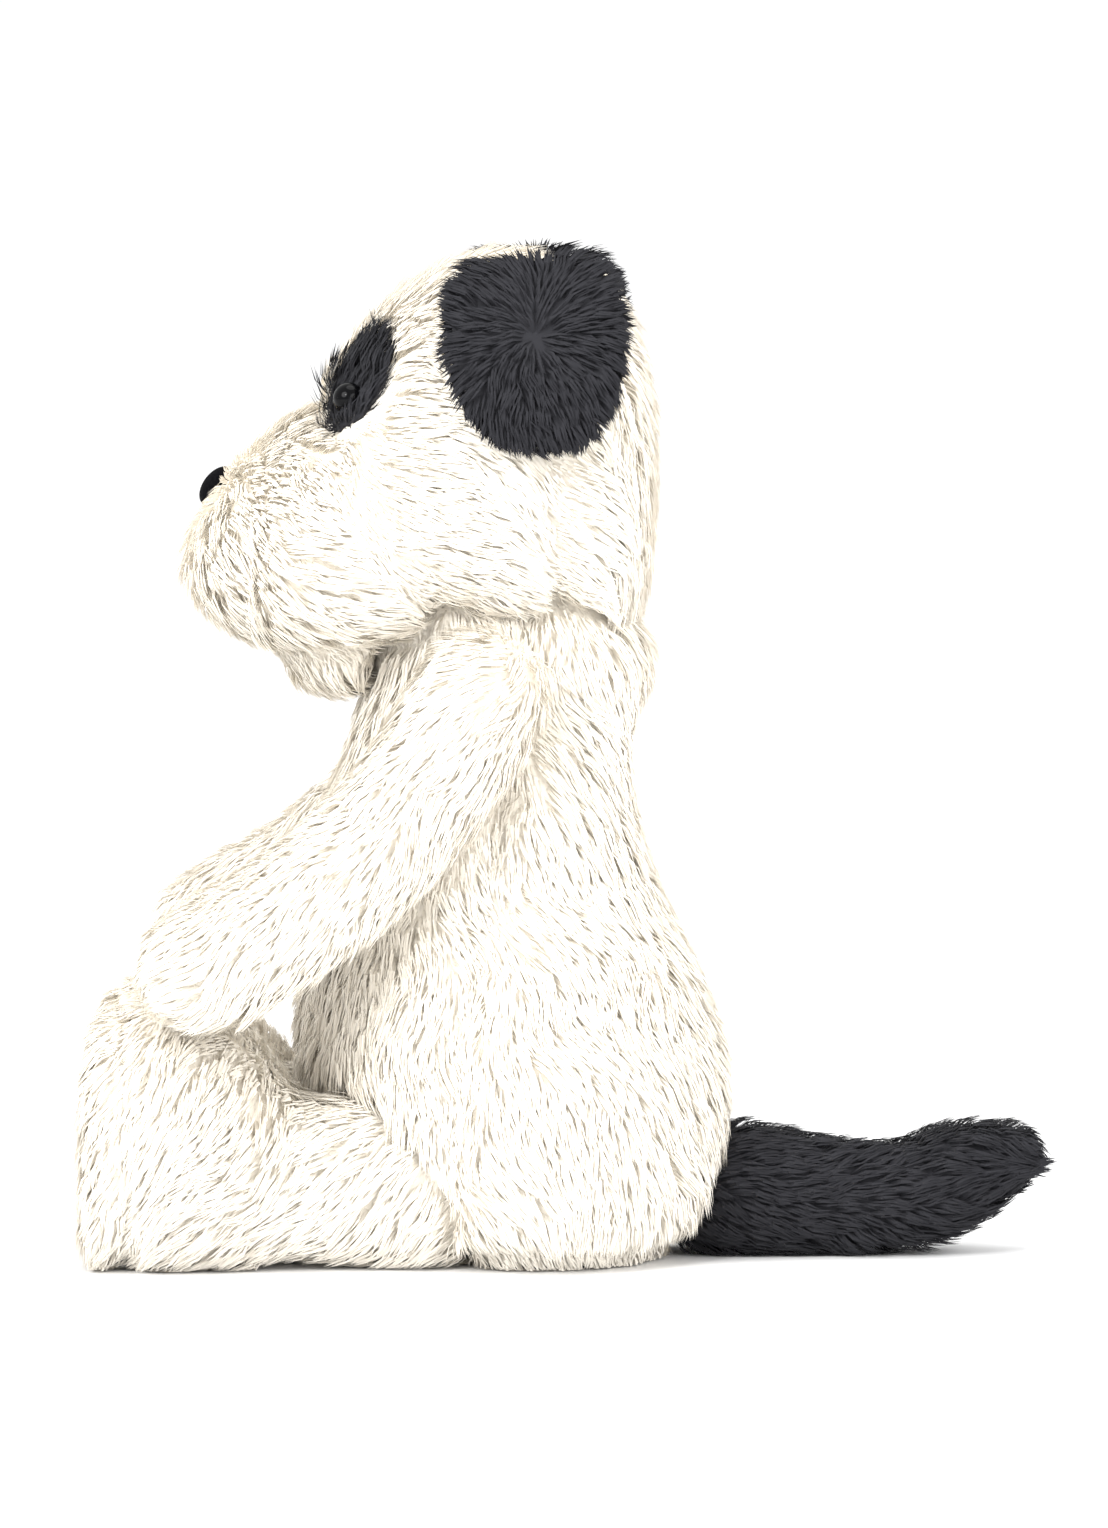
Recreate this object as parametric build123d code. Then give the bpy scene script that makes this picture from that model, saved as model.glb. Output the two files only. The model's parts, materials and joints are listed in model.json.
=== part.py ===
"""A seated plush puppy with floppy ears, as cloth panels around stuffing.

Millimetres, +Z up. The toy faces -Y and its left side is +X. The origin is on the floor, under
the middle of the flat seat, a little in front of it. Each cloth panel is a shell as thick as plush cloth with its pile pressed flat.
A limb ends in a round head that sits in a pocket of the torso, so that it can swing at its seam.
"""
from build123d import *
from math import cos, pi, radians, sin
import os

# Cloth, filling and seams.
CLOTH = 2.4  # plush cloth, pile pressed flat
FILL_GAP = 0.2  # between a panel and its filling
JOINT_GAP = 0.45  # between a limb's round end and its pocket
TRIM_GAP = 0.05  # between hard trim and the cloth around it

# Torso.
TORSO_HEIGHT = 137.0  # floor to the middle of the neck joint
TORSO_WIDTH = 102.0
TORSO_DEPTH = 95.0
SEAT_WIDTH = 72.0  # the flat face that it sits on
SEAT_DEPTH = 56.0
SEAT_SEAM_HEIGHT = 5.0
NECK_RADIUS = 29.5
NECK_Y = -4.0
SIDE_SEAM_LEAN = 8.5  # degrees that the side seam leans back
SIDE_SEAM_Y = -20.0  # where the side seam meets the floor

# Head.
HEAD_WIDTH = 88.0
HEAD_LENGTH = 102.0  # muzzle to nape
HEAD_HEIGHT = 100.0  # jowl to crown
CROWN_SEAM_Y = 12.0  # from the neck joint back to the seam that holds the ears
MUZZLE_SEAM_TOP = (-42.0, 57.0)  # from the neck joint, Y and Z
MUZZLE_SEAM_LOW = (-12.0, 8.0)
CHIN_SEAM_Z = 3.0  # from the neck joint

# Eyes, nose and eye patch.
EYE_RADIUS = 3.7
EYE_STEM_RADIUS = 1.25
EYE_STEM_LENGTH = 8.0
EYE_BACK = 0.8  # the eye's straight edge behind its dome
EYE_SINK = 1.0  # how deep the dome's edge sits in the cloth
WASHER_RADIUS = 5.0
WASHER_THICKNESS = 1.0
WASHER_DEPTH = 2.4  # behind the cloth's inner face
EYE_SPREAD = 26.5  # each eye's X
EYE_HEIGHT = 61.5  # from the neck joint
PATCH_LENGTH = 31.0
PATCH_WIDTH = 24.0
PATCH_LEAN = 45.0  # degrees that the patch's top leans to the crown
PATCH_CENTRE = (22.5, 65.5)  # X, and Z from the neck joint
NOSE_WIDTH = 16.0
NOSE_HEIGHT = 10.5
NOSE_DEPTH = 6.5
NOSE_PROUD = 0.2  # the nose's middle in front of the cloth
NOSE_Z = 39.5  # from the neck joint
NOSE_CLOTH = 0.9

# Ears.
EAR_WIDTH = 45.0
EAR_THICKNESS = 9.0
EAR_CLOTH = 2.0
EAR_STAND_OFF = 0.9  # between the ear and the widest part of the head
EAR_TOP_ANGLE = 52.0  # where the ear is sewn on, degrees up from the side
EAR_LOW_ANGLE = -4.0
EAR_Y = 8.0  # middle of the ear, from the neck joint

# Arms.
ARM_RADIUS = 14.5
PAW_RADIUS = 14.5
SHOULDER_X = 36.5
SHOULDER_Y = -7.0
SHOULDER_Z = 133.0
ARM_BEND = (0.33, 0.30, 0.63)  # share of the way to the paw at the arm's bend, in X, Y and Z
PAW_Y = -70.0
PAW_ANGLE = 58.0  # how far round the foot the paw rests, degrees up from its outer side
PAW_GAP = 0.6  # between a paw and the foot under it

# Legs.
LEG_RADIUS = 21.0  # half the leg's height at the hip
LEG_WIDTH = 34.0  # at the hip
LEG_REACH = 75.0  # hip to sole
LEG_ROOT = 0.35  # share of the reach that is straight, so that it turns in its pocket
FOOT_HEIGHT = 66.0
FOOT_WIDTH = 45.0
HIP_X = 25.0
HIP_Y = -22.0
FOOT_X = 33.0
SOLE_DEPTH = 9.0
FLOOR_PRESS = 1.2  # how far the floor flattens a limb
LEG_DROP = 40.0  # degrees that a leg hangs down

# Tail.
TAIL_RADIUS = 16.0
TAIL_LENGTH = 73.0
TAIL_Y = 45.0
TAIL_TIP_HEIGHT = 26.0
TAIL_WAG = 20.0  # degrees each way

# Bean bag in the seat.
POUCH_WIDTH = 60.0
POUCH_DEPTH = 30.0
POUCH_HEIGHT = 26.0
POUCH_Y = 12.0
POUCH_WALL = 0.8
POUCH_FLOOR = 1.5  # stuffing under the pouch
PELLET_RADIUS = 1.7
PELLET_HEIGHT = 2.8
PELLET_GAP = 0.9
PELLET_LAYERS = 3

NECK = Vector(0, NECK_Y, TORSO_HEIGHT)
FAR = 400.0  # larger than the toy
X_AXIS = Vector(1, 0, 0)
DOME_ANGLES = (18, 38, 58, 76)  # where a round end has its sections


def mirrored(solid):
    """The same piece on the toy's right side."""
    return mirror(solid, about=Plane.YZ)


def oval(centre, half_a, half_b, along_a, along_b):
    """A closed smooth outline with these half sizes, as a face."""
    steps = 12
    points = []
    for i in range(steps):
        turn = 2 * pi * i / steps
        points.append(centre + along_a * (half_a * cos(turn)) + along_b * (half_b * sin(turn)))
    return Face(Wire(Edge.make_spline(points, periodic=True)))


def limb(centres, radii, first_direction=None):
    """A tube of changing radius through the centres, with a round end at each end."""
    tangents = []
    for i in range(len(centres)):
        before = centres[max(i - 1, 0)]
        after = centres[min(i + 1, len(centres) - 1)]
        tangents.append((after - before).normalized())
    if first_direction is not None:
        tangents[0] = first_direction.normalized()

    def ring(centre, radius, tangent):
        side = (X_AXIS - tangent * tangent.dot(X_AXIS)).normalized()
        return oval(centre, radius, radius, side, tangent.cross(side))

    rings = []
    for angle in reversed(DOME_ANGLES):
        out = radii[0] * sin(radians(angle))
        rings.append(ring(centres[0] - tangents[0] * out, radii[0] * cos(radians(angle)), tangents[0]))
    for centre, radius, tangent in zip(centres, radii, tangents):
        rings.append(ring(centre, radius, tangent))
    for angle in DOME_ANGLES:
        out = radii[-1] * sin(radians(angle))
        rings.append(ring(centres[-1] + tangents[-1] * out, radii[-1] * cos(radians(angle)), tangents[-1]))
    return loft(rings)


def swing_pocket(pivot, radius, direction, axis, angles, length):
    """The room that a round-ended limb sweeps at its root, over these angles in degrees."""
    room = Pos(pivot) * Sphere(radius)
    for angle in angles:
        along = direction.rotate(Axis((0, 0, 0), axis), angle)
        plane = Plane(origin=pivot, z_dir=along)
        room += plane * Cylinder(radius, length, align=(Align.CENTER, Align.CENTER, Align.MIN))
    return room


def flared_pocket(radius, swing, depth):
    """The room that a round end at the origin sweeps as its limb, along +Y, swings each way."""
    turn = radians(swing)
    end = CenterArc((0, 0), radius, -90, 90 - swing)
    flare = Line(end @ 1, end @ 1 + Vector(sin(turn), cos(turn)) * depth)
    cap = Line(flare @ 1, (0, (flare @ 1).Y))
    middle = Line(cap @ 1, end @ 0)
    return revolve(Face(Wire([end, flare, cap, middle])), Axis.Y)


def seam_plane(y, z, lean):
    """A plane that holds the X direction, through (y, z), leaning back by lean degrees."""
    return Plane(origin=(0, y, z), x_dir=(1, 0, 0), z_dir=(0, -cos(radians(lean)), sin(radians(lean))))


# ---------------------------------------------------------------- arms


def arm_form(wall):
    """The left arm, taken in by wall all round."""
    shoulder = Vector(SHOULDER_X, SHOULDER_Y, SHOULDER_Z)
    paw = paw_centre()
    way = paw - shoulder
    bend = shoulder + Vector(way.X * ARM_BEND[0], way.Y * ARM_BEND[1], way.Z * ARM_BEND[2])
    centres, radii = [], []
    for i in range(6):
        t = i / 5
        centres.append(shoulder * (1 - t) ** 2 + bend * (2 * t * (1 - t)) + paw * t**2)
        radii.append(ARM_RADIUS + (PAW_RADIUS - ARM_RADIUS) * t - wall)
    return limb(centres, radii)


def paw_centre():
    """The paw rests on the foot's upper outer edge."""
    half_width, half_height = FOOT_WIDTH / 2, FOOT_HEIGHT / 2
    x, z = cos(radians(PAW_ANGLE)), sin(radians(PAW_ANGLE))
    on_foot = Vector(FOOT_X + half_width * x, PAW_Y, half_height - FLOOR_PRESS + half_height * z)
    outward = Vector(x / half_width, 0, z / half_height).normalized()
    return on_foot + outward * (PAW_RADIUS + PAW_GAP)


def arm_parts():
    """The left arm's outer and inner cloth, with a seam along its middle, and its stuffing."""
    cloth = arm_form(0) - arm_form(CLOTH)
    paw = paw_centre()
    seam = Plane(
        origin=(SHOULDER_X, SHOULDER_Y, SHOULDER_Z),
        x_dir=(0, 0, 1),
        z_dir=(SHOULDER_Y - paw.Y, paw.X - SHOULDER_X, 0),
    )
    return {
        "arm_outer_panel": split(cloth, bisect_by=seam, keep=Keep.TOP),
        "arm_inner_panel": split(cloth, bisect_by=seam, keep=Keep.BOTTOM),
        "arm_stuffing": arm_form(CLOTH + FILL_GAP),
    }


# ---------------------------------------------------------------- legs


def hip():
    return Vector(HIP_X, HIP_Y, LEG_RADIUS - FLOOR_PRESS)


def leg_form(wall):
    """The left leg and its upright foot, taken in by wall all round."""
    foot = FOOT_HEIGHT / 2
    rest = LEG_RADIUS - FLOOR_PRESS
    # Along the leg as a share of hip to sole: half height and half width.
    stations = [
        (0.00, LEG_RADIUS, LEG_WIDTH * 0.5),
        (LEG_ROOT / 2, LEG_RADIUS, LEG_WIDTH * 0.5),
        (LEG_ROOT, LEG_RADIUS, LEG_WIDTH * 0.5),
        (0.49, foot * 0.80, FOOT_WIDTH * 0.45),
        (0.63, foot * 0.93, FOOT_WIDTH * 0.5),
        (0.80, foot, FOOT_WIDTH * 0.5),
        (0.92, foot * 0.97, FOOT_WIDTH * 0.46),
        (0.98, foot * 0.84, FOOT_WIDTH * 0.38),
        (1.00, foot * 0.64, FOOT_WIDTH * 0.27),
    ]
    rings = []
    for angle in reversed(DOME_ANGLES):
        half_height = (LEG_RADIUS - wall) * cos(radians(angle))
        half_width = (LEG_WIDTH / 2 - wall) * cos(radians(angle))
        centre = hip() + Vector(0, (LEG_RADIUS - wall) * sin(radians(angle)), 0)
        rings.append(oval(centre, half_width, half_height, X_AXIS, Vector(0, 0, 1)))
    for share, half_height, half_width in stations:
        x = HIP_X + (FOOT_X - HIP_X) * max(0, (share - LEG_ROOT) / (1 - LEG_ROOT))
        y = HIP_Y - (LEG_REACH - wall) * share
        middle = max(rest, half_height * 0.985 - FLOOR_PRESS)
        rings.append(oval(Vector(x, y, middle), half_width - wall, half_height - wall, X_AXIS, Vector(0, 0, 1)))
    return split(loft(rings), bisect_by=Plane.XY.offset(wall), keep=Keep.TOP)


def leg_parts():
    """The left leg's side panels, its sole and its stuffing."""
    cloth = leg_form(0) - leg_form(CLOTH)
    sole_plane = Plane(origin=(0, HIP_Y - LEG_REACH + SOLE_DEPTH, 0), z_dir=(0, -1, 0))
    side_plane = Plane(origin=(HIP_X, HIP_Y, 0), z_dir=(LEG_REACH, FOOT_X - HIP_X, 0))
    sides = split(cloth, bisect_by=sole_plane, keep=Keep.BOTTOM)
    return {
        "leg_outer_panel": split(sides, bisect_by=side_plane, keep=Keep.TOP),
        "leg_inner_panel": split(sides, bisect_by=side_plane, keep=Keep.BOTTOM),
        "sole_panel": split(cloth, bisect_by=sole_plane, keep=Keep.TOP),
        "leg_stuffing": leg_form(CLOTH + FILL_GAP),
    }


# ---------------------------------------------------------------- tail


def tail_root():
    return Vector(0, TAIL_Y, TAIL_RADIUS - FLOOR_PRESS)


def tail_form(wall):
    """The tail along the floor, with its tip turned up, taken in by wall all round."""
    # Share of the length, radius, and height of the underside above the floor.
    lift = TAIL_TIP_HEIGHT - TAIL_RADIUS * 0.5
    stations = [
        (0.00, 1.00, 0.0),
        (0.22, 0.94, 0.0),
        (0.45, 0.86, 0.0),
        (0.64, 0.83, 0.10),
        (0.81, 0.80, 0.42),
        (0.93, 0.60, 0.80),
    ]
    centres, radii = [], []
    for share, size, rise in stations:
        radius = TAIL_RADIUS * size
        centres.append(Vector(0, TAIL_Y + TAIL_LENGTH * share, radius - FLOOR_PRESS + lift * rise))
        radii.append(radius - wall)
    form = limb(centres, radii, first_direction=Vector(0, 1, 0))
    return split(form, bisect_by=Plane.XY.offset(wall), keep=Keep.TOP)


def tail_parts():
    """The tail's two halves of cloth and its stuffing."""
    cloth = tail_form(0) - tail_form(CLOTH)
    return {
        "tail_left_panel": split(cloth, bisect_by=Plane.YZ, keep=Keep.TOP),
        "tail_right_panel": split(cloth, bisect_by=Plane.YZ, keep=Keep.BOTTOM),
        "tail_stuffing": tail_form(CLOTH + FILL_GAP),
    }


# ---------------------------------------------------------------- torso


def torso_form(wall):
    """The pear-shaped torso with its flat seat and round neck, taken in by wall all round."""
    # Share of the height, then front and back as shares of the depth, and the width's share.
    stations = [
        (0.045, -0.36, 0.44, 0.90),
        (0.13, -0.445, 0.485, 0.985),
        (0.25, -0.50, 0.505, 1.00),
        (0.38, -0.51, 0.472, 0.965),
        (0.53, -0.485, 0.38, 0.88),
        (0.68, -0.445, 0.285, 0.765),
        (0.83, -0.395, 0.25, 0.68),
    ]
    half_width = TORSO_WIDTH / 2
    seat_middle = TORSO_DEPTH * 0.06
    outlines = [(0.0, seat_middle, SEAT_DEPTH / 2, SEAT_WIDTH / 2)]
    for share, front, back, wide in stations:
        middle = TORSO_DEPTH * (front + back) / 2
        outlines.append((TORSO_HEIGHT * share, middle, TORSO_DEPTH * (back - front) / 2, half_width * wide))
    if wall:
        low, high = outlines[0], outlines[1]
        share = wall / high[0]
        outlines[0] = tuple(a + (b - a) * share for a, b in zip(low, high))
    rings = []
    for z, middle, half_depth, half in outlines:
        rings.append(oval(Vector(0, middle, z), half - wall, half_depth - wall, X_AXIS, Vector(0, 1, 0)))
    radius = NECK_RADIUS - wall
    for angle in (0, *DOME_ANGLES):
        centre = NECK + Vector(0, 0, radius * sin(radians(angle)))
        size = radius * cos(radians(angle))
        rings.append(oval(centre, size, size, X_AXIS, Vector(0, 1, 0)))
    return loft(rings)


def limb_pockets(gap):
    """The room that both arms, both legs and the tail take out of the torso."""
    arm = arm_form(-gap)
    leg_angles = [LEG_DROP * i / 4 for i in range(5)]
    middle = Vector(0, hip().Y, hip().Z)
    leg = swing_pocket(
        middle, LEG_RADIUS + gap, Vector(0, -1, 0), (1, 0, 0), leg_angles, LEG_REACH * 0.6
    )
    narrow = (LEG_WIDTH / 2 + gap) / (LEG_RADIUS + gap)
    leg = Pos(HIP_X, 0, 0) * scale(leg, by=(narrow, 1, 1))  # the pocket is oval, as the leg is
    tail = Pos(tail_root()) * flared_pocket(TAIL_RADIUS + gap, TAIL_WAG, TAIL_LENGTH * 0.4)
    return [arm, mirrored(arm), leg, mirrored(leg), tail]


def pouch_bottom():
    return CLOTH + 2 * FILL_GAP + POUCH_FLOOR


def pouch_form(wall):
    """The bean bag that weighs the seat down, taken in by wall all round."""
    # Share of the height, and of the pouch's width and depth there.
    stations = ((0.0, 0.80), (0.25, 1.0), (0.65, 0.97), (0.9, 0.72), (1.0, 0.45))
    rings = []
    for share, size in stations:
        z = pouch_bottom() + wall + (POUCH_HEIGHT - 2 * wall) * share
        half_x = POUCH_WIDTH / 2 * size - wall
        half_y = POUCH_DEPTH / 2 * size - wall
        rings.append(oval(Vector(0, POUCH_Y, z), half_x, half_y, X_AXIS, Vector(0, 1, 0)))
    return loft(rings)


def pellets():
    """Plastic pellets in rows and layers, as separate solids."""
    pitch = 2 * PELLET_RADIUS + PELLET_GAP
    layer_pitch = PELLET_HEIGHT + PELLET_GAP
    bottom_share = 0.78  # the pouch's narrowest width and depth where the pellets lie
    room_x = POUCH_WIDTH / 2 * bottom_share - POUCH_WALL - PELLET_RADIUS
    room_y = POUCH_DEPTH / 2 * bottom_share - POUCH_WALL - PELLET_RADIUS
    lowest = pouch_bottom() + POUCH_WALL + PELLET_GAP / 2
    columns, rows = int(room_x / pitch) + 1, int(room_y / pitch) + 1
    beans = []
    for layer in range(PELLET_LAYERS):
        z = lowest + layer_pitch * (layer + 0.5)
        shift = pitch / 2 * (layer % 2)
        for column in range(-columns, columns + 1):
            for row in range(-rows, rows + 1):
                x, y = column * pitch + shift, row * pitch
                if (x / room_x) ** 2 + (y / room_y) ** 2 <= 1:
                    beans.append(Pos(x, POUCH_Y + y, z) * Cylinder(PELLET_RADIUS, PELLET_HEIGHT))
    return Compound(children=beans)


def torso_parts():
    """The torso's cloth, its stuffing and the bean bag inside."""
    cloth = torso_form(0) - torso_form(CLOTH)
    for pocket in limb_pockets(JOINT_GAP):
        cloth -= pocket
    stuffing = torso_form(CLOTH + FILL_GAP)
    for pocket in limb_pockets(JOINT_GAP + FILL_GAP):
        stuffing -= pocket
    stuffing -= pouch_form(-FILL_GAP)
    seat_plane = Plane.XY.offset(SEAT_SEAM_HEIGHT)
    upper = split(cloth, bisect_by=seat_plane, keep=Keep.TOP)
    side_seam = seam_plane(SIDE_SEAM_Y, 0, SIDE_SEAM_LEAN)
    back = split(upper, bisect_by=side_seam, keep=Keep.BOTTOM)
    return {
        "seat_panel": split(cloth, bisect_by=seat_plane, keep=Keep.BOTTOM),
        "torso_front_panel": split(upper, bisect_by=side_seam, keep=Keep.TOP),
        "torso_back_left_panel": split(back, bisect_by=Plane.YZ, keep=Keep.TOP),
        "torso_back_right_panel": split(back, bisect_by=Plane.YZ, keep=Keep.BOTTOM),
        "torso_stuffing": stuffing,
        "bean_pouch": pouch_form(0) - pouch_form(POUCH_WALL),
        "bean_pellets": pellets(),
    }


# ---------------------------------------------------------------- head


def head_form(wall):
    """The head from muzzle to nape, taken in by wall all round."""
    # Share of the length, then bottom and top as shares of the height, and the width's share.
    stations = [
        (0.000, 0.235, 0.365, 0.12),
        (0.020, 0.185, 0.425, 0.36),
        (0.070, 0.135, 0.490, 0.60),
        (0.150, 0.075, 0.560, 0.77),
        (0.245, 0.010, 0.640, 0.88),
        (0.345, 0.000, 0.780, 0.945),
        (0.460, 0.055, 0.900, 0.985),
        (0.600, 0.085, 0.975, 1.000),
        (0.755, 0.095, 0.990, 0.975),
        (0.870, 0.110, 0.940, 0.870),
        (0.960, 0.165, 0.820, 0.660),
        (1.000, 0.320, 0.660, 0.320),
    ]
    front = NECK.Y - HEAD_LENGTH * 0.675
    bottom = NECK.Z - HEAD_HEIGHT * 0.06
    rings = []
    for share, low, high, wide in stations:
        y = front + wall + (HEAD_LENGTH - 2 * wall) * share
        middle = bottom + HEAD_HEIGHT * (low + high) / 2
        half_height = HEAD_HEIGHT * (high - low) / 2 - wall
        rings.append(
            oval(Vector(0, y, middle), HEAD_WIDTH / 2 * wide - wall, half_height, X_AXIS, Vector(0, 0, 1))
        )
    return loft(rings)


def on_head(x, z):
    """The head's foremost point at this place, and the way the cloth faces there."""
    outline = Axis((x, -FAR, z), (0, 1, 0))
    hits = head_form(0).find_intersection_points(outline)
    point, normal = min(hits, key=lambda hit: hit[0].Y)
    return point, normal


def eye_place(side):
    """Where an eye's dome stands on the cloth: side is 1 for the left eye and -1 for the right."""
    point, normal = on_head(EYE_SPREAD, NECK.Z + EYE_HEIGHT)
    middle = point - normal * EYE_SINK
    return Plane(
        origin=(side * middle.X, middle.Y, middle.Z),
        z_dir=(side * normal.X, normal.Y, normal.Z),
    )


def eye(grow):
    """A domed eye with its stem, on the XY plane, grown by grow all round."""
    low, mid, high = Align.MAX, Align.CENTER, Align.MIN
    dome = Sphere(EYE_RADIUS + grow) & Box(FAR, FAR, FAR, align=(mid, mid, high))
    back = Cylinder(EYE_RADIUS + grow, EYE_BACK + grow, align=(mid, mid, low))
    stem = Cylinder(EYE_STEM_RADIUS + grow, EYE_STEM_LENGTH + grow, align=(mid, mid, low))
    return dome + back + stem


def washer(grow):
    """The disc that locks an eye's stem inside the head, grown by grow all round."""
    disc = Cylinder(WASHER_RADIUS + grow, WASHER_THICKNESS + 2 * grow)
    if not grow:
        disc -= Cylinder(EYE_STEM_RADIUS + TRIM_GAP, 2 * WASHER_THICKNESS)
    return Pos(0, 0, -CLOTH - WASHER_DEPTH) * disc


def nose_form(grow):
    """A padded nose, wider than it is high, that leans back on the muzzle."""
    point, normal = on_head(0, NECK.Z + NOSE_Z)
    plane = Plane(origin=point + normal * NOSE_PROUD, x_dir=(1, 0, 0), z_dir=normal)
    size = (NOSE_WIDTH / 2 + grow, NOSE_HEIGHT / 2 + grow, NOSE_DEPTH / 2 + grow)
    return plane * scale(Sphere(1), by=size)


def patch_cutter():
    """The oval block that cuts the eye patch out of the head's left side."""
    point, normal = on_head(PATCH_CENTRE[0], NECK.Z + PATCH_CENTRE[1])
    across = Vector(0, 0, 1).cross(normal).normalized()
    upward = normal.cross(across)
    lean = radians(PATCH_LEAN)
    along = upward * cos(lean) - across * sin(lean)
    outline = oval(point, PATCH_LENGTH / 2, PATCH_WIDTH / 2, along, normal.cross(along))
    return extrude(outline, amount=HEAD_LENGTH / 8, dir=normal, both=True)


def head_parts():
    """The head's cloth, eye patch, eyes, nose and stuffing."""
    eyes = [eye_place(1), eye_place(-1)]
    neck_room = Pos(NECK) * Sphere(NECK_RADIUS + JOINT_GAP) + torso_form(-JOINT_GAP)
    trim = [place * (eye(TRIM_GAP) + washer(TRIM_GAP)) for place in eyes]
    trim.append(nose_form(TRIM_GAP))
    cloth = head_form(0) - head_form(CLOTH) - neck_room
    stuffing = head_form(CLOTH + FILL_GAP) - neck_room
    for piece in trim:
        cloth -= piece
        stuffing -= piece
    top_y, top_z = MUZZLE_SEAM_TOP
    low_y, low_z = MUZZLE_SEAM_LOW
    muzzle_seam = Plane(
        origin=(0, NECK.Y + top_y, NECK.Z + top_z), x_dir=(1, 0, 0), z_dir=(0, low_z - top_z, top_y - low_y)
    )
    muzzle = split(cloth, bisect_by=muzzle_seam, keep=Keep.TOP)
    skull = split(cloth, bisect_by=muzzle_seam, keep=Keep.BOTTOM)
    chin_plane = Plane.XY.offset(NECK.Z + CHIN_SEAM_Z)
    jowls = split(muzzle, bisect_by=chin_plane, keep=Keep.TOP)
    crown_plane = Plane(origin=(0, NECK.Y + CROWN_SEAM_Y, 0), z_dir=(0, 1, 0))
    sides = split(skull, bisect_by=crown_plane, keep=Keep.BOTTOM)
    left_side = split(sides, bisect_by=Plane.YZ, keep=Keep.TOP)
    patch = patch_cutter()
    return {
        "head_left_panel": left_side - patch,
        "head_right_panel": split(sides, bisect_by=Plane.YZ, keep=Keep.BOTTOM),
        "head_back_panel": split(skull, bisect_by=crown_plane, keep=Keep.TOP),
        "eye_patch": left_side & patch,
        "muzzle_left_panel": split(jowls, bisect_by=Plane.YZ, keep=Keep.TOP),
        "muzzle_right_panel": split(jowls, bisect_by=Plane.YZ, keep=Keep.BOTTOM),
        "chin_panel": split(muzzle, bisect_by=chin_plane, keep=Keep.BOTTOM),
        "head_stuffing": stuffing,
        "left_eye": eyes[0] * eye(0),
        "right_eye": eyes[1] * eye(0),
        "left_eye_washer": eyes[0] * washer(0),
        "right_eye_washer": eyes[1] * washer(0),
        "nose_cover": nose_form(0) - nose_form(-NOSE_CLOTH),
        "nose_padding": nose_form(-NOSE_CLOTH - FILL_GAP),
    }


# ---------------------------------------------------------------- ears


def ear_middle():
    """The middle of the round side of the head that the ear lies against."""
    return NECK + Vector(0, EAR_Y, HEAD_HEIGHT * 0.505)


def ear_radius():
    return HEAD_WIDTH / 2 + EAR_STAND_OFF


def ear_pad(low, high, shrink):
    """The left ear between these heights above its inner face, with its outline taken in."""
    middle = ear_middle()
    inner = ear_radius()
    turned = Plane(origin=middle, x_dir=(1, 0, 0), z_dir=(0, -1, 0))
    width = EAR_WIDTH * 1.4
    ring = Cylinder(inner + high, width) - Cylinder(inner + low, width)
    wedge_size = 2 * (inner + EAR_THICKNESS)
    quarter = Box(wedge_size, wedge_size, width, align=(Align.MIN, Align.MIN, Align.CENTER))
    ring &= Rot(0, 0, EAR_LOW_ANGLE) * quarter
    ring &= Rot(0, 0, EAR_TOP_ANGLE - 90) * quarter
    mid_radius = inner + EAR_THICKNESS / 2
    roll = Cylinder((high - low) / 2, width)
    ring += Rot(0, 0, EAR_TOP_ANGLE) * (Pos(mid_radius, 0, 0) * roll)
    return (turned * ring) & ear_outline(shrink)


def ear_outline(shrink):
    """The ear's outline from the side, as a block that runs across the head."""
    middle = ear_middle()
    low = ear_radius() * sin(radians(EAR_LOW_ANGLE))
    top = (ear_radius() + EAR_THICKNESS / 2) * sin(radians(EAR_TOP_ANGLE)) + EAR_THICKNESS / 2
    # Share of half the width, and share of the height.
    shape = [
        (0.12, 0.00),
        (0.62, 0.10),
        (0.95, 0.40),
        (1.00, 0.70),
        (0.80, 0.94),
        (0.28, 1.03),
        (-0.42, 1.02),
        (-0.86, 0.90),
        (-1.00, 0.62),
        (-0.88, 0.33),
        (-0.42, 0.07),
    ]
    half = EAR_WIDTH / 2 - shrink
    height = top - low - 2 * shrink
    points = [(half * side, low + shrink + height * up) for side, up in shape]
    plane = Plane(origin=middle, x_dir=(0, 1, 0), z_dir=(1, 0, 0))
    face = plane * Face(Wire(Edge.make_spline([Vector(y, z) for y, z in points], periodic=True)))
    return extrude(face, amount=2 * ear_radius(), dir=(1, 0, 0))


def ear_parts():
    """The left ear's outer and inner cloth and its thin filling."""
    half = EAR_THICKNESS / 2
    pad = ear_pad(0, EAR_THICKNESS, 0)
    cloth = pad - ear_pad(EAR_CLOTH, EAR_THICKNESS - EAR_CLOTH, EAR_CLOTH)
    turned = Plane(origin=ear_middle(), x_dir=(1, 0, 0), z_dir=(0, -1, 0))
    core = turned * Cylinder(ear_radius() + half, EAR_WIDTH * 2)
    inset = EAR_CLOTH + FILL_GAP
    return {
        "ear_outer_panel": cloth - core,
        "ear_inner_panel": cloth & core,
        "ear_filling": ear_pad(inset, EAR_THICKNESS - inset, inset),
    }


# ---------------------------------------------------------------- the whole toy


def all_parts():
    parts = {}
    parts.update(torso_parts())
    parts.update(head_parts())
    parts.update(tail_parts())
    for pieces in (arm_parts(), leg_parts(), ear_parts()):
        for name, piece in pieces.items():
            parts["left_" + name] = piece
            parts["right_" + name] = mirrored(piece)
    return parts


def main():
    os.makedirs("parts", exist_ok=True)
    for name, piece in all_parts().items():
        export_step(piece, f"parts/{name}.step")


main()
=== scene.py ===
import json
import math

import bpy
import numpy as np
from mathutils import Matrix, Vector
from mathutils.bvhtree import BVHTree
from mathutils.kdtree import KDTree

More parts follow.
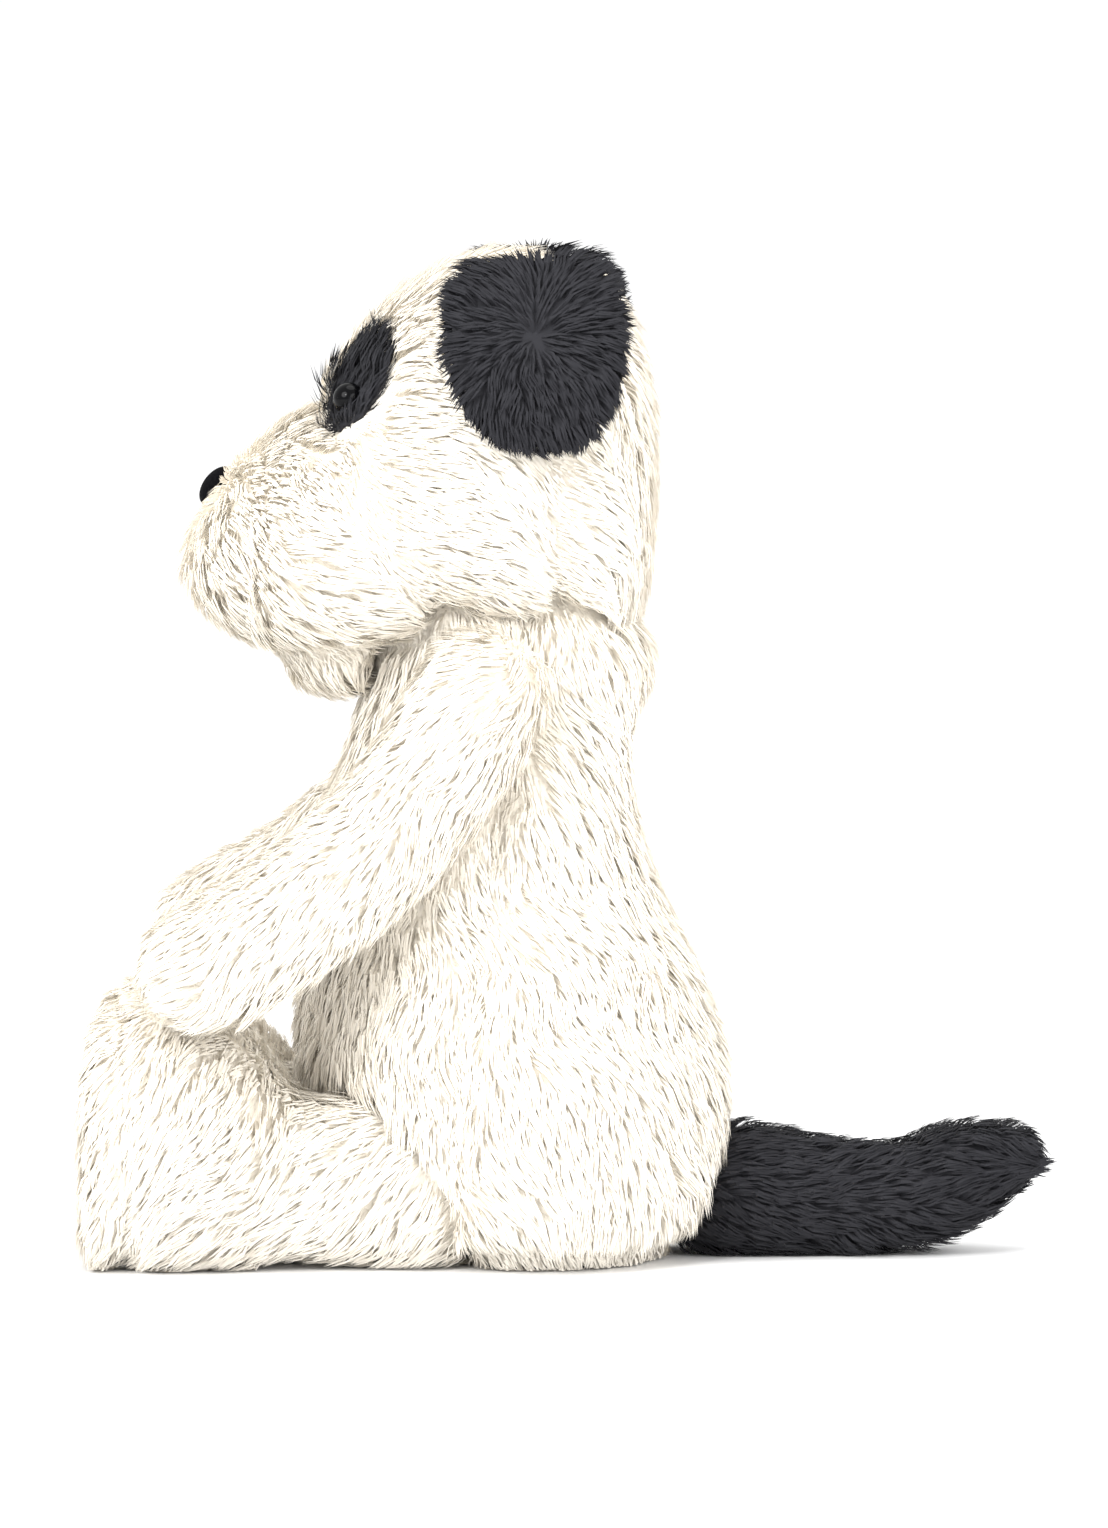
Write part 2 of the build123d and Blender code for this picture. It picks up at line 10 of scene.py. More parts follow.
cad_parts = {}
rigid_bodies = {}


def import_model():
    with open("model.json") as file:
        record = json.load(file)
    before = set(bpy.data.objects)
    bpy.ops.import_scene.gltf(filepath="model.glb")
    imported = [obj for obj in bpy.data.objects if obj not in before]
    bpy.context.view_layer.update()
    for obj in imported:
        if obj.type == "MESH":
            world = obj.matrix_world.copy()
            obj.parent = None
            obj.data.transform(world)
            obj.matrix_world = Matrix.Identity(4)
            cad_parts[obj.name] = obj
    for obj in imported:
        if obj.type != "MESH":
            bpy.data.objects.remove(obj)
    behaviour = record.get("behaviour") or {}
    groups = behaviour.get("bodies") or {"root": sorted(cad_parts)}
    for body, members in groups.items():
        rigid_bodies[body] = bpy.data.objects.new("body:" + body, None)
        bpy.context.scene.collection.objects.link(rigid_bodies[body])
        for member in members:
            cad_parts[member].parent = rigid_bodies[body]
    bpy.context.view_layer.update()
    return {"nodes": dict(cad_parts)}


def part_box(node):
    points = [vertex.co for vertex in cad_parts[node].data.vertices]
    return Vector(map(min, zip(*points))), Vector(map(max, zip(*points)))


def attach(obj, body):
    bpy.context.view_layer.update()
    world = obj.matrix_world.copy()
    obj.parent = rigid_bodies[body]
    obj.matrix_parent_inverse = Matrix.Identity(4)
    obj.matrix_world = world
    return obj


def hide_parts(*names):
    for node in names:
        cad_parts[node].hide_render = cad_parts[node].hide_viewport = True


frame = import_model()

bl_info = {
    "name": "Plush Puppy",
    "version": (1, 0, 0),
    "blender": (4, 5, 0),
    "location": "3D View > Sidebar > Plush",
    "description": "Builds the cloth, pile, eyes, nose and studio of a seated plush puppy",
    "category": "Object",
}

MM = 0.001
NODES = frame["nodes"]
SIDES = ("left", "right")

# Cloth.
CLOTH_FRAMES = 20
MERGE_WITHIN = 0.01 * MM
CLOTH_ON_FLOOR = 0.5 * MM
PATCH_THICKNESS = 0.9 * MM
PATCH_REACH = 12 * MM
NAPE_BELOW_TOP = 28 * MM
NAPE_SWELL = 4.4 * MM
CHEEK_SWELL, CHEEK_RADIUS = 4.0 * MM, 15 * MM
LOBE_SWELL, LOBE_RADIUS = 2.2 * MM, 9 * MM
CREASE_DEPTH, CREASE_WIDTH = 2.6 * MM, 3.2 * MM
LIP_DEPTH, LIP_WIDTH = 2.2 * MM, 3.0 * MM

# Pile. Angles are in radians, and a lean is measured from the cloth's normal.
STRANDS_PER_LOCK = 14
LEAN = 1.08
LEAN_RANGE = (0.2, 1.45)
SHORTEST_PILE = 2.5 * MM
BLACK_SHARE = 0.86
SEAM_SHARE = 0.5
ROOT_DEPTH = 0.3 * MM
STRANDS_ON_FLOOR, TIPS_ON_FLOOR = 0.1 * MM, 0.15 * MM
BARE_AT_EYE = 4.6 * MM
BLACK_PIECES = ("tail_plush", "left_ear_plush", "right_ear_plush", "eye_patch_plush")

# Studio.
WORLD_STRENGTH = 0.92
FLOOR_SIZE = 60
FLOOR_DROP = 0.2 * MM
LOOK_AT = Vector((0, 0.0085, 0.1127))
CAMERA_DISTANCE = 2.6
CAMERA_RISE = math.radians(4.5)
HEIGHT_SEEN = 0.3514
SENSOR_WIDTH = 36
LAMPS = (
    # name, place, size, power
    ("key", (1.6, -1.3, 1.4), 1.6, 42),
    ("fill", (1.8, 1.2, 0.9), 1.6, 26),
    ("top", (0.0, 0.2, 2.0), 1.4, 12),
    ("rim", (-0.8, 1.6, 1.2), 1.0, 12),
    ("glint", (2.0, -1.0, 1.5), 0.2, 11),
)

# The plush pieces: the body that each rides on, and the CAD nodes that it stands for.
TORSO_PANELS = (
    "torso_front_panel",
    "torso_back_left_panel",
    "torso_back_right_panel",
    "seat_panel",
)
SKULL_PANELS = ("head_left_panel", "head_right_panel", "head_back_panel")
MUZZLE_PANELS = ("muzzle_left_panel", "muzzle_right_panel", "chin_panel")
TAIL_PANELS = ("tail_left_panel", "tail_right_panel")


def plush_pieces():
    """Name, body, cloth panels, filling and pile colour of each plush piece."""
    pieces = [
        ("torso_plush", "torso", TORSO_PANELS, "torso_stuffing", "cream_fur"),
        ("head_plush", "head", SKULL_PANELS + MUZZLE_PANELS, "head_stuffing", "cream_fur"),
        ("tail_plush", "tail", TAIL_PANELS, "tail_stuffing", "black_fur"),
    ]
    for side in SIDES:
        arm = (f"{side}_arm_outer_panel", f"{side}_arm_inner_panel")
        leg = (
            f"{side}_leg_outer_panel",
            f"{side}_leg_inner_panel",
            f"{side}_sole_panel",
        )
        ear = (f"{side}_ear_outer_panel", f"{side}_ear_inner_panel")
        for part, panels, filling, slot in (
            ("arm", arm, "stuffing", "cream_fur"),
            ("leg", leg, "stuffing", "cream_fur"),
            ("ear", ear, "filling", "black_fur"),
        ):
            limb = f"{side}_{part}"
            pieces.append((limb + "_plush", limb, panels, f"{limb}_{filling}", slot))
    return pieces


# ------------------------------------------------------------------ settings


class PlushSizes(bpy.types.PropertyGroup):
    """Sizes of the cloth and its pile."""

    voxel: bpy.props.FloatProperty(
        name="Voxel",
        description="Grid on which each cloth piece is remade",
        default=4 * MM,
        unit="LENGTH",
    )
    pressure: bpy.props.FloatProperty(
        name="Pressure",
        description="How hard the filling presses on the cloth",
        default=4.0,
    )
    take_in: bpy.props.FloatProperty(
        name="Take in",
        description="How far the cloth starts inside its full shape",
        default=0.2 * MM,
        unit="LENGTH",
    )
    swell: bpy.props.FloatProperty(
        name="Swell",
        description="The most that the filling may move the cloth",
        default=2.4 * MM,
        unit="LENGTH",
    )
    seam_depth: bpy.props.FloatProperty(
        name="Seam depth",
        description="How far a seam pulls the cloth in",
        default=2.8 * MM,
        unit="LENGTH",
    )
    seam_width: bpy.props.FloatProperty(
        name="Seam width",
        description="How wide the pull of a seam is",
        default=4.5 * MM,
        unit="LENGTH",
    )
    pile: bpy.props.FloatProperty(
        name="Pile",
        description="Length of the pile",
        default=8.6 * MM,
        unit="LENGTH",
    )
    strand: bpy.props.FloatProperty(
        name="Strand",
        description="Half the width of a lock of fibres",
        default=0.27 * MM,
        unit="LENGTH",
    )
    density: bpy.props.FloatProperty(
        name="Density",
        description="Locks of fibres in a square millimetre of cloth",
        default=1.35,
    )


class PlushColours(bpy.types.PropertyGroup):
    """Colours of the pile and trim."""

    cream_tip: bpy.props.FloatVectorProperty(
        name="Cream tip",
        description="Cream pile at its tips",
        default=(1.0, 0.965, 0.885),
        size=3,
        subtype="COLOR",
    )
    # Cream at the roots is painted darker and warmer: painted shade where the strands shadow each
    # other.
    cream_root_painted_shade: bpy.props.FloatVectorProperty(
        name="Cream root",
        description="Cream pile at its roots",
        default=(1.0, 0.93, 0.81),
        size=3,
        subtype="COLOR",
    )
    # Black at the tips is the pile's own near-black with a painted violet sheen: the tips are
    # lighter and bluer than the roots.
    black_tip_with_painted_sheen: bpy.props.FloatVectorProperty(
        name="Black tip",
        description="Black pile at its tips",
        default=(0.0052, 0.0045, 0.0075),
        size=3,
        subtype="COLOR",
    )
    # Black at the roots is painted darker still: painted shade where the strands shadow each
    # other.
    black_root_painted_shade: bpy.props.FloatVectorProperty(
        name="Black root",
        description="Black pile at its roots",
        default=(0.0010, 0.0009, 0.0014),
        size=3,
        subtype="COLOR",
    )


def sizes():
    return bpy.context.scene.plush_sizes


def colours():
    return bpy.context.scene.plush_colours


# ------------------------------------------------------------------ mesh helpers


def deselect_all():
    if bpy.context.object and bpy.context.object.mode != "OBJECT":
        bpy.ops.object.mode_set(mode="OBJECT")
    bpy.ops.object.select_all(action="DESELECT")


def pick(*objects):
    """Makes these the only selected objects, with the last one active."""
    deselect_all()
    for obj in objects:
        obj.hide_set(False)
        obj.select_set(True)
    bpy.context.view_layer.objects.active = objects[-1]


def apply_modifier(obj, kind, **values):
    """Adds a modifier with these values and applies it."""
    pick(obj)
    modifier = obj.modifiers.new(kind.lower(), kind)
    for name, value in values.items():
        setattr(modifier, name, value)
    bpy.ops.object.modifier_apply(modifier=modifier.name)


def coordinates(mesh):
    """Where each vertex of a mesh is."""
    flat = np.empty(len(mesh.vertices) * 3, np.float32)
    mesh.vertices.foreach_get("co", flat)
    return flat.reshape(-1, 3).astype(float)


def normals(mesh):
    """The direction that each vertex of a mesh faces."""
    flat = np.empty(len(mesh.vertices) * 3, np.float32)
    mesh.vertices.foreach_get("normal", flat)
    return flat.reshape(-1, 3).astype(float)


def place(mesh, points):
    """Moves each vertex of a mesh to its point."""
    mesh.vertices.foreach_set("co", points.astype(np.float32).ravel())
    mesh.update()


def unit(vectors):
    """The same directions, each of length 1."""
    return vectors / np.maximum(np.linalg.norm(vectors, axis=-1, keepdims=True), 1e-9)


def tree_of(*names):
    """A search tree of these objects' faces, at rest."""
    points, faces = [], []
    for name in names:
        mesh = bpy.data.objects[name].data
        start = len(points)
        points.extend(v.co.copy() for v in mesh.vertices)
        faces.extend([start + i for i in p.vertices] for p in mesh.polygons)
    return BVHTree.FromPolygons(points, faces)


def distance_to(tree, points, reach):
    """How far each point is from the tree's faces, up to reach."""
    far = np.full(len(points), reach)
    for i, point in enumerate(points):
        hit = tree.find_nearest(Vector(point), reach)
        if hit[3] is not None:
            far[i] = hit[3]
    return far


def box_of(node):
    """A CAD node's lowest and highest corners."""
    low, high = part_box(node)
    return np.array(low), np.array(high)


def centre_of(node):
    low, high = box_of(node)
    return (low + high) / 2


# ------------------------------------------------------------------ cloth


def copy_nodes(name, nodes):
    """One object that holds copies of these CAD nodes' meshes, merged."""
    copies = []
    for node in nodes:
        piece = bpy.data.objects.new(name, NODES[node].data.copy())
        bpy.context.scene.collection.objects.link(piece)
        copies.append(piece)
    pick(*copies)
    if len(copies) > 1:
        bpy.ops.object.join()
    obj = bpy.context.object
    obj.name = name
    obj.data.materials.clear()
    bpy.ops.object.mode_set(mode="EDIT")
    bpy.ops.mesh.select_all(action="SELECT")
    bpy.ops.mesh.remove_doubles(threshold=MERGE_WITHIN)
    bpy.ops.object.mode_set(mode="OBJECT")
    return obj


def fill_with_stuffing(obj):
    """Lets the filling press the cloth out by simulation, and limits how far it moves."""
    start = coordinates(obj.data)
    pick(obj)
    cloth = obj.modifiers.new("cloth", "CLOTH")
    cloth.settings.use_pressure = True
    cloth.settings.uniform_pressure_force = sizes().pressure
    cloth.settings.effector_weights.gravity = 0
    cloth.settings.quality = 4
    cloth.point_cache.frame_end = CLOTH_FRAMES
    for number in range(1, CLOTH_FRAMES + 1):
        bpy.context.scene.frame_set(number)
    depsgraph = bpy.context.evaluated_depsgraph_get()
    moved = coordinates(obj.evaluated_get(depsgraph).data)
    obj.modifiers.remove(cloth)
    bpy.context.scene.frame_set(1)
    step = moved - start
    length = np.linalg.norm(step, axis=1, keepdims=True)
    step *= np.minimum(1, sizes().swell / np.maximum(length, 1e-9))
    place(obj.data, start + step)


def seam_pull(points, panels):
    """From 0 to 1, how near each point is to a seam between two of these CAD panels."""
    reach = 4 * sizes().seam_width
    far = [distance_to(tree_of(panel), points, reach) for panel in panels]
    second = np.sort(np.array(far), axis=0)[1]
    return np.exp(-((second / sizes().seam_width) ** 2))


def on_floor(points, height=CLOTH_ON_FLOOR):
    """The same points, none lower than the cloth that rests on the floor."""
    points[:, 2] = np.maximum(points[:, 2], height)
    return points


def cloth_piece(name, panels, filling, shape=None):
    """A closed, stuffed cloth piece in the space of its CAD panels and filling."""
    obj = copy_nodes(name, [*panels, filling])
    apply_modifier(obj, "REMESH", mode="VOXEL", voxel_size=sizes().voxel)
    place(obj.data, coordinates(obj.data) - normals(obj.data) * sizes().take_in)
    fill_with_stuffing(obj)
    apply_modifier(obj, "SMOOTH", factor=0.5, iterations=4)
    apply_modifier(obj, "SUBSURF", levels=1, render_levels=1)
    points, facing = coordinates(obj.data), normals(obj.data)
    if shape is not None:
        points = points + facing * shape(points, facing)[:, None]
    points = points - facing * (seam_pull(points, panels) * sizes().seam_depth)[:, None]
    place(obj.data, on_floor(points))
    pick(obj)
    bpy.ops.object.shade_smooth()
    return obj


# ------------------------------------------------------------------ pile


def comb_torso(points, facing):
    """Down the torso, leaning a little to the back."""
    return np.tile((0.0, 0.28, -1.0), (len(points), 1))


def comb_head(points, facing):
    """Away from the nose over the face, then down the nape."""
    nose = centre_of("nose_cover")
    low, high = box_of("head_stuffing")
    away = unit(points - nose)
    nape = np.clip((points[:, 1] - low[1]) / (high[1] - low[1]) * 2.2 - 1.1, 0, 1)
    away[:, 2] -= 0.30 + 1.1 * nape
    return away


def comb_ear(points, facing):
    """From the upper middle of the ear to its edges, and down."""
    low, high = box_of("left_ear_filling")
    away = points - np.array((0.0, (low[1] + high[1]) / 2, low[2] + 0.62 * (high[2] - low[2])))
    away[:, 0] = 0
    return unit(away) + np.array((0.0, 0.0, -0.35))


def comb_patch(points, facing):
    """Up the forehead."""
    return np.tile((0.0, 0.25, 1.0), (len(points), 1))


def comb_arm(points, facing):
    """Down the arm to the paw."""
    low, high = box_of("left_arm_stuffing")
    reach = high - low
    return np.tile((0.0, -reach[1], -reach[2] * 1.15), (len(points), 1))


def comb_leg(points, facing):
    """Along the leg to the sole, and down over the foot."""
    low, high = box_of("left_leg_stuffing")
    along = np.tile((0.0, -0.75, -0.55), (len(points), 1))
    toe = np.clip(1 - (points[:, 1] - low[1]) / (0.4 * (high[1] - low[1])), 0, 1)
    along[:, 2] -= toe
    return along


def comb_tail(points, facing):
    """Along the tail to its tip."""
    return np.tile((0.0, 1.0, -0.12), (len(points), 1))


COMBS = {
    "torso_plush": comb_torso,
    "head_plush": comb_head,
    "tail_plush": comb_tail,
    "eye_patch_plush": comb_patch,
}
for _side in SIDES:
    COMBS[f"{_side}_arm_plush"] = comb_arm
    COMBS[f"{_side}_leg_plush"] = comb_leg
    COMBS[f"{_side}_ear_plush"] = comb_ear


def scatter(mesh, count, rng):
    """Random points on the mesh with the cloth's normal at each."""
    mesh.calc_loop_triangles()
    corners = np.empty(len(mesh.loop_triangles) * 3, np.int32)
    mesh.loop_triangles.foreach_get("vertices", corners)
    corners = corners.reshape(-1, 3)
    points, facing = coordinates(mesh), normals(mesh)
    a, b, c = (points[corners[:, i]] for i in range(3))
    area = np.linalg.norm(np.cross(b - a, c - a), axis=1)
    chosen = corners[np.searchsorted(np.cumsum(area) / area.sum(), rng.random(count))]
    u, v = rng.random(count), rng.random(count)
    flip = u + v > 1
    u[flip], v[flip] = 1 - u[flip], 1 - v[flip]
    share = np.stack((1 - u - v, u, v), axis=1)[:, :, None]
    return (points[chosen] * share).sum(axis=1), unit((facing[chosen] * share).sum(axis=1))


def cloth_area(mesh):
    return sum(p.area for p in mesh.polygons)


def clearance(points, facing, tree, reach):
    """The room above each point, up to reach, before another piece of cloth."""
    room = np.full(len(points), reach)
    for i in range(len(points)):
        start = Vector(points[i] + facing[i] * 0.2 * MM)
        hit = tree.ray_cast(start, Vector(facing[i]), reach)
        if hit[3] is not None:
            room[i] = hit[3]
    return room


def smooth_noise(points, pitch, rng):
    """A gentle random value from -1 to 1 that changes over about this pitch."""
    value = np.zeros(len(points))
    for _ in range(5):
        wave = unit(rng.normal(size=3)) * (2 * math.pi / pitch) * rng.uniform(0.6, 1.3)
        value += np.sin(points @ wave + rng.uniform(0, 2 * math.pi))
    return value / 2.6


def strand_mesh(name, rings, tips, tint):
    """Closed, tapered locks of fibres. rings holds each lock's root and middle triangles."""
    count = len(tips)
    points = np.concatenate((rings.reshape(count, 6, 3), tips[:, None, :]), axis=1).reshape(-1, 3)
    sides = [(0, 1, 4, 3), (1, 2, 5, 4), (2, 0, 3, 5)]
    ends = [(3, 4, 6), (4, 5, 6), (5, 3, 6), (2, 1, 0)]
    pattern = np.array([i for face in sides + ends for i in face])
    sizes_of_faces = np.array([4] * 3 + [3] * 4)
    loops = (np.arange(count)[:, None] * 7 + pattern[None, :]).ravel()
    totals = np.tile(sizes_of_faces, count)
    starts = np.concatenate(([0], np.cumsum(totals)[:-1]))
    mesh = bpy.data.meshes.new(name)
    mesh.vertices.add(len(points))
    mesh.vertices.foreach_set("co", points.astype(np.float32).ravel())
    mesh.loops.add(len(loops))
    mesh.loops.foreach_set("vertex_index", loops.astype(np.int32))
    mesh.polygons.add(len(totals))
    mesh.polygons.foreach_set("loop_start", starts.astype(np.int32))
    mesh.polygons.foreach_set("use_smooth", np.zeros(len(totals), bool))
    mesh.update(calc_edges=True)
    along = np.array([0.04, 0.04, 0.04, 0.55, 0.55, 0.55, 1.0])[pattern]
    across = np.array([0.0, 0.5, 1.0, 0.0, 0.5, 1.0, 0.5])[pattern]
    u = 0.02 + 0.93 * tint[:, None] + 0.03 * across[None, :]
    v = np.tile(along, (count, 1))
    # The root's end face has its own small patch, so that it has a size on the map.
    v[:, -3:] = (0.02, 0.03, 0.04)
    write_map(mesh, np.stack((u, v), axis=2).reshape(-1, 2))
    return mesh


def write_map(mesh, uv):
    """The map that the pile's material reads, and a copy for baking the colours."""
    for name in ("pile", "OFBake"):
        layer = mesh.uv_layers.get(name) or mesh.uv_layers.new(name=name)
        layer.data.foreach_set("uv", uv.astype(np.float32).ravel())


def map_cloth(mesh):
    """The cloth's own faces take the colour of the pile's roots, painted shade included."""
    uv = np.empty((len(mesh.loops), 2))
    corner = np.arange(len(mesh.loops)) % 4
    uv[:, 0] = 0.46 + 0.04 * np.isin(corner, (1, 2))
    uv[:, 1] = 0.10 + 0.04 * np.isin(corner, (2, 3))
    write_map(mesh, uv)


def grow_pile(obj, comb, seed, length, keep, others):
    """Covers a cloth piece with locks of fibres that lie the way they were combed."""
    rng = np.random.default_rng(seed)
    count = int(cloth_area(obj.data) / MM**2 * sizes().density)
    roots, facing = scatter(obj.data, count, rng)
    scale = keep(roots, facing)
    kept = scale > 0.02
    roots, facing, scale = roots[kept], facing[kept], scale[kept]
    room = clearance(roots, facing, others, length)
    count = len(roots)
    flow = comb(roots, facing)
    flow = unit(flow - facing * (flow * facing).sum(axis=1, keepdims=True))
    side = np.cross(facing, flow)
    # Locks: neighbouring strands share a direction and draw together at their tips.
    lock_count = max(count // STRANDS_PER_LOCK, 1)
    locks = KDTree(lock_count)
    for i in range(lock_count):
        locks.insert(Vector(roots[i]), i)
    locks.balance()
    lock = np.array([locks.find(Vector(p))[1] for p in roots])
    turn = rng.normal(0, 0.13, lock_count)
    turn = turn + 0.38 * smooth_noise(roots[:lock_count], 30 * MM, rng)
    turn = turn[lock] + rng.normal(0, 0.07, count)
    drift = flow * np.cos(turn)[:, None] + side * np.sin(turn)[:, None]
    lock_lean = LEAN + rng.normal(0, 0.05, lock_count)[lock] + rng.normal(0, 0.06, count)
    lock_size = np.clip(rng.normal(1, 0.08, lock_count), 0.7, 1.2)[lock]
    size = length * scale * lock_size * rng.uniform(0.82, 1.08, count)
    # Pile under another piece of cloth is shorter and lies flatter.
    size = np.minimum(size, np.maximum(room * 1.3, SHORTEST_PILE))
    flat = np.clip(1.25 - room / length, 0, 0.9)
    lock_lean = np.clip(lock_lean + flat * 0.5, *LEAN_RANGE)
    up, along = np.cos(lock_lean)[:, None], np.sin(lock_lean)[:, None]
    middle = roots + size[:, None] * (facing * up * 0.72 + drift * along * 0.46)
    tip = roots + size[:, None] * (facing * up * 0.95 + drift * along * 1.02)
    draw = np.clip(rng.normal(0.26, 0.10, lock_count), 0.0, 0.5)[lock][:, None]
    middle += (middle[lock] - middle) * draw * 0.45
    tip += (tip[lock] - tip) * draw
    wave = rng.uniform(-1, 1, lock_count)[lock][:, None] * side * size[:, None]
    middle += wave * 0.06
    tip -= wave * 0.04
    width = sizes().strand * rng.uniform(0.75, 1.3, count)[:, None]
    first, second = side, unit(np.cross(tip - roots, side))
    rings = []
    for centre, thick in ((roots - facing * ROOT_DEPTH, 0.8), (middle, 1.0)):
        for across, above in ((1.0, 0.08), (-1.0, 0.08), (0.0, -0.32)):
            rings.append(centre + width * thick * (first * across + second * above))
    rings = on_floor(np.stack(rings, axis=1).reshape(-1, 3), STRANDS_ON_FLOOR)
    tip = on_floor(tip, TIPS_ON_FLOOR)
    tint = 0.5 + 0.22 * smooth_noise(roots, 45 * MM, rng)
    tint = tint + rng.normal(0, 0.12, lock_count)[lock]
    tint = np.clip(tint + rng.normal(0, 0.10, count), 0, 1)
    name = obj.name + "_pile"
    pile = bpy.data.objects.new(name, strand_mesh(name, rings, tip, tint))
    bpy.context.scene.collection.objects.link(pile)
    map_cloth(obj.data)
    pile.data.materials.append(obj.data.materials[0])
    pick(pile, obj)
    bpy.ops.object.join()
    return obj


# ------------------------------------------------------------------ materials


def new_material(name):
    """A new material, with its nodes, their links and its shader."""
    material = bpy.data.materials.new(name)
    material.use_nodes = True
    tree = material.node_tree
    return material, tree.nodes, tree.links, tree.nodes["Principled BSDF"]


def pile_material(name, root, tip, sheen, roughness, contrast):
    """Pile with painted shade at its roots, so that it is darker there, with locks of slightly
    different tint.
    """
    material, nodes, links, shader = new_material(name)
    uv = nodes.new("ShaderNodeUVMap")
    uv.uv_map = "pile"
    split = nodes.new("ShaderNodeSeparateXYZ")
    links.new(uv.outputs["UV"], split.inputs[0])
    # Along each strand, from the root colour with its painted shade to the tip colour.
    ramp = nodes.new("ShaderNodeValToRGB")
    ramp.color_ramp.elements[0].position = 0.0
    ramp.color_ramp.elements[0].color = (*root, 1)
    ramp.color_ramp.elements[1].position = 0.85
    ramp.color_ramp.elements[1].color = (*tip, 1)
    links.new(split.outputs["Y"], ramp.inputs["Fac"])
    tints = nodes.new("ShaderNodeValToRGB")
    dark, light = 1 - contrast, 1 + contrast * 0.25
    tints.color_ramp.elements[0].color = (dark, dark * 0.975, dark * 0.93, 1)
    tints.color_ramp.elements[1].color = (light, light, light, 1)
    tints.color_ramp.elements[1].position = 0.8
    links.new(split.outputs["X"], tints.inputs["Fac"])
    mix = nodes.new("ShaderNodeMix")
    mix.data_type = "RGBA"
    mix.blend_type = "MULTIPLY"
    mix.inputs["Factor"].default_value = 1.0
    links.new(ramp.outputs["Color"], mix.inputs["A"])
    links.new(tints.outputs["Color"], mix.inputs["B"])
    links.new(mix.outputs["Result"], shader.inputs["Base Color"])
    shader.inputs["Roughness"].default_value = roughness
    shader.inputs["Specular IOR Level"].default_value = 0.0
    shader.inputs["Sheen Weight"].default_value = sheen
    shader.inputs["Sheen Roughness"].default_value = 0.45
    shader.inputs["Sheen Tint"].default_value = (1, 0.98, 0.95, 1)
    return material


def eye_material():
    """Polished black plastic with faint wear."""
    material, nodes, links, shader = new_material("polished_black_plastic")
    where = nodes.new("ShaderNodeTexCoord")
    noise = nodes.new("ShaderNodeTexNoise")
    noise.inputs["Scale"].default_value = 900
    links.new(where.outputs["Object"], noise.inputs["Vector"])
    spread = nodes.new("ShaderNodeMapRange")
    spread.inputs["To Min"].default_value = 0.03
    spread.inputs["To Max"].default_value = 0.10
    links.new(noise.outputs["Fac"], spread.inputs["Value"])
    links.new(spread.outputs["Result"], shader.inputs["Roughness"])
    shader.inputs["Base Color"].default_value = (0.002, 0.002, 0.0025, 1)
    shader.inputs["Specular IOR Level"].default_value = 0.12
    return material


def grained_material(
    name, colour, dark, scale, roughness, bump, sheen=0.0, specular=0.3
):
    """A fine random grain: suedette, fibre or moulded plastic."""
    material, nodes, links, shader = new_material(name)
    where = nodes.new("ShaderNodeTexCoord")
    noise = nodes.new("ShaderNodeTexNoise")
    noise.inputs["Scale"].default_value = scale
    noise.inputs["Detail"].default_value = 5
    links.new(where.outputs["Object"], noise.inputs["Vector"])
    ramp = nodes.new("ShaderNodeValToRGB")
    ramp.color_ramp.elements[0].position = 0.35
    ramp.color_ramp.elements[0].color = (*dark, 1)
    ramp.color_ramp.elements[1].position = 0.65
    ramp.color_ramp.elements[1].color = (*colour, 1)
    links.new(noise.outputs["Fac"], ramp.inputs["Fac"])
    links.new(ramp.outputs["Color"], shader.inputs["Base Color"])
    height = nodes.new("ShaderNodeBump")
    height.inputs["Strength"].default_value = bump
    height.inputs["Distance"].default_value = 0.2 * MM
    links.new(noise.outputs["Fac"], height.inputs["Height"])
    links.new(height.outputs["Normal"], shader.inputs["Normal"])
    shader.inputs["Roughness"].default_value = roughness
    shader.inputs["Specular IOR Level"].default_value = specular
    shader.inputs["Sheen Weight"].default_value = sheen
    return material


def woven_material(name, colour, scale):
    """Plain weave, for the bean bag."""
    material, nodes, links, shader = new_material(name)
    where = nodes.new("ShaderNodeTexCoord")
    waves = []
    for direction in ("X", "Z"):
        wave = nodes.new("ShaderNodeTexWave")
        wave.bands_direction = direction
        wave.inputs["Scale"].default_value = scale
        links.new(where.outputs["Object"], wave.inputs["Vector"])
        waves.append(wave)
    weave = nodes.new("ShaderNodeMath")
    weave.operation = "MULTIPLY"
    links.new(waves[0].outputs["Fac"], weave.inputs[0])
    links.new(waves[1].outputs["Fac"], weave.inputs[1])
    height = nodes.new("ShaderNodeBump")
    height.inputs["Strength"].default_value = 0.5
    height.inputs["Distance"].default_value = 0.2 * MM
    links.new(weave.outputs["Value"], height.inputs["Height"])
    links.new(height.outputs["Normal"], shader.inputs["Normal"])
    shader.inputs["Base Color"].default_value = (*colour, 1)
    shader.inputs["Roughness"].default_value = 0.85
    return material


def material_for(slot):
    """The material of a slot, made once."""
    if slot in bpy.data.materials:
        return bpy.data.materials[slot]
    c = colours()
    if slot == "cream_fur":
        return pile_material(
            slot, c.cream_root_painted_shade, c.cream_tip, sheen=0.05, roughness=0.9, contrast=0.05
        )
    return pile_material(
        slot, c.black_root_painted_shade, c.black_tip_with_painted_sheen, sheen=0.0, roughness=0.8, contrast=0.45
    )


# ------------------------------------------------------------------ operators


